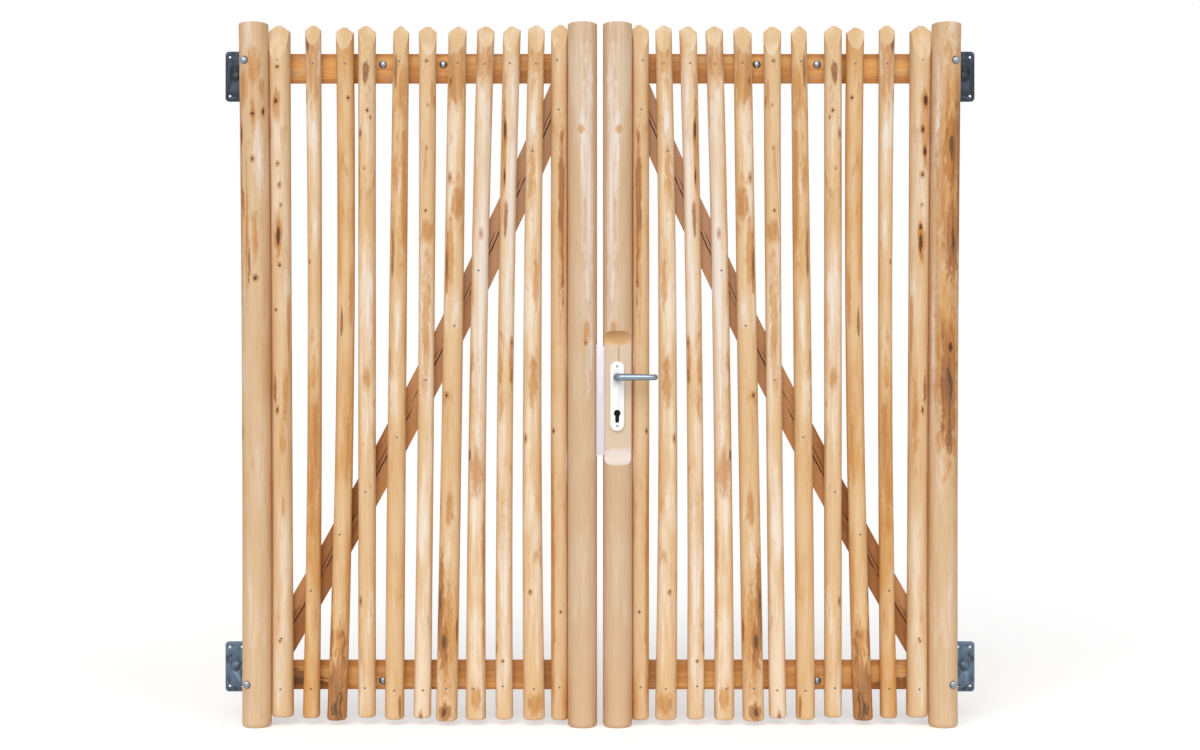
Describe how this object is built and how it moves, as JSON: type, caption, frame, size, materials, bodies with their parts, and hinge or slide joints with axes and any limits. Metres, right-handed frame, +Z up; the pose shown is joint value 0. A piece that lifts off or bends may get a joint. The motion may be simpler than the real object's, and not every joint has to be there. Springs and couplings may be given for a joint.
{
  "type": "double garden gate",
  "caption": "Double-leaf garden gate of peeled round wooden pales with diagonal braces, strap hinges on wall hooks, and a mortise lock with a lever handle.",
  "frame": {"origin": "at the foot of the closed gate, midway between the two outer hook plates and midway through its depth from the front lever to the eyes of the straps", "axes": "+X along the gate from the left leaf to the right leaf that carries the lock, -Y towards the front where the pales are, +Z up"},
  "size_m": [1.946, 0.1717, 1.8],
  "materials": {
    "peeled_wood": "peeled round hazel or chestnut, light tan with brown streaks",
    "half_round_wood": "half-round, rough, orange-tan",
    "galvanised_steel": "hot-dip galvanised, dark blue-grey",
    "zinc_fasteners": "zinc plated",
    "plated_steel": "bright zinc, matt",
    "bright_steel": "bright",
    "satin_aluminium": "satin"
  },
  "bodies": {
    "hooks": {"left_upper_hook": "galvanised_steel", "left_lower_hook": "galvanised_steel", "right_upper_hook": "galvanised_steel", "right_lower_hook": "galvanised_steel"},
    "left_leaf": {"left_hinge_post": "peeled_wood", "left_meeting_post": "peeled_wood", "left_pale_01": "peeled_wood", "left_pale_02": "peeled_wood", "left_pale_03": "peeled_wood", "left_pale_04": "peeled_wood", "left_pale_05": "peeled_wood", "left_pale_06": "peeled_wood", "left_pale_07": "peeled_wood", "left_pale_08": "peeled_wood", "left_pale_09": "peeled_wood", "left_pale_10": "peeled_wood", "left_pale_11": "peeled_wood", "left_upper_rail": "half_round_wood", "left_lower_rail": "half_round_wood", "left_brace": "half_round_wood", "left_upper_strap": "galvanised_steel", "left_lower_strap": "galvanised_steel", "left_upper_post_bolt": "zinc_fasteners", "left_upper_rail_bolt_1": "zinc_fasteners", "left_upper_rail_bolt_2": "zinc_fasteners", "left_lower_post_bolt": "zinc_fasteners", "left_lower_rail_bolt_1": "zinc_fasteners", "strike_plate": "plated_steel"},
    "right_leaf": {"right_hinge_post": "peeled_wood", "right_meeting_post": "peeled_wood", "right_pale_01": "peeled_wood", "right_pale_02": "peeled_wood", "right_pale_03": "peeled_wood", "right_pale_04": "peeled_wood", "right_pale_05": "peeled_wood", "right_pale_06": "peeled_wood", "right_pale_07": "peeled_wood", "right_pale_08": "peeled_wood", "right_pale_09": "peeled_wood", "right_pale_10": "peeled_wood", "right_pale_11": "peeled_wood", "right_upper_rail": "half_round_wood", "right_lower_rail": "half_round_wood", "right_brace": "half_round_wood", "right_upper_strap": "galvanised_steel", "right_lower_strap": "galvanised_steel", "right_upper_post_bolt": "zinc_fasteners", "right_upper_rail_bolt_1": "zinc_fasteners", "right_upper_rail_bolt_2": "zinc_fasteners", "right_lower_post_bolt": "zinc_fasteners", "right_lower_rail_bolt_1": "zinc_fasteners", "lock_case": "plated_steel", "front_handle_plate": "satin_aluminium", "back_handle_plate": "satin_aluminium"},
    "handle": {"front_lever": "satin_aluminium", "back_lever": "satin_aluminium", "lever_spindle": "bright_steel", "lock_follower": "bright_steel"},
    "latch": {"latch_bolt": "bright_steel"},
    "deadbolt": {"dead_bolt": "bright_steel"}
  },
  "joints": [
    {"name": "left_swing", "type": "hinge", "parent": "hooks", "child": "left_leaf", "pos_m": [-0.946, 0.07405, 0.9], "axis": [0, 0, 1], "range_deg": [0, 105]},
    {"name": "right_swing", "type": "hinge", "parent": "hooks", "child": "right_leaf", "pos_m": [0.946, 0.07405, 0.9], "axis": [0, 0, -1], "range_deg": [0, 105]},
    {"name": "handle_turn", "type": "hinge", "parent": "right_leaf", "child": "handle", "pos_m": [0.044, -0.00895, 0.894], "axis": [0, 1, 0], "range_deg": [0, 35], "stiffness_Nm_per_rad": 1.5, "springref_deg": -17.19},
    {"name": "latch_slide", "type": "slide", "parent": "right_leaf", "child": "latch", "axis": [1, 0, 0], "range_m": [0, 0.011]},
    {"name": "deadbolt_throw", "type": "slide", "parent": "right_leaf", "child": "deadbolt", "axis": [-1, 0, 0], "range_m": [0, 0.016]}
  ],
  "couplings": [
    {"joint": "latch_slide", "follows": "handle_turn", "m_per_rad": 0.018}
  ]
}
